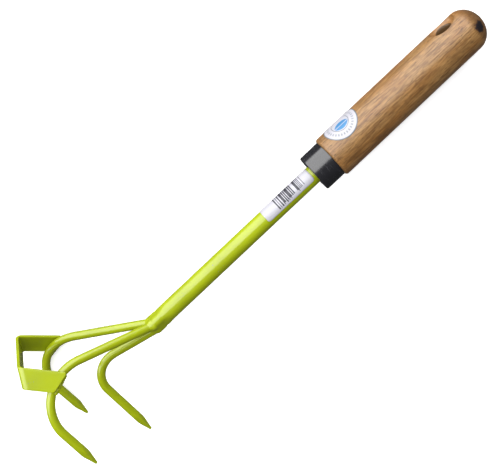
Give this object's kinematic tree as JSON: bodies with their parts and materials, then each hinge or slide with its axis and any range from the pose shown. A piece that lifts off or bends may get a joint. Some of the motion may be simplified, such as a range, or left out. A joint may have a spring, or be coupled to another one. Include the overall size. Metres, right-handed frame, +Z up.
{
  "type": "hand cultivator",
  "caption": "Short hand cultivator: rod tines and a stirrup hoe blade welded to a painted steel tube, in a turned wooden handle with a ferrule and a hanging hole.",
  "frame": {"origin": "middle of the tool's footprint on the bench, at the height of the bench", "axes": "+X along the handle towards its butt, +Y towards the back of the tool, where the stirrup blade is, +Z up from the bench; the tool lies on its right side"},
  "size_m": [0.3896, 0.1122, 0.076],
  "materials": {
    "handle_wood": "oiled, satin",
    "ferrule_black": "black enamel, semi-gloss",
    "green_paint": "lime green gloss enamel",
    "label_paper": "coated paper, printed"
  },
  "bodies": {
    "root": {"wood_handle": "handle_wood", "ferrule": "ferrule_black", "shaft_tube": "green_paint", "left_tine": "green_paint", "centre_tine": "green_paint", "right_tine": "green_paint", "stirrup_blade": "green_paint", "socket_weld": "green_paint", "left_blade_weld": "green_paint", "right_blade_weld": "green_paint", "round_label": "label_paper", "bar_label": "label_paper"}
  },
  "joints": []
}
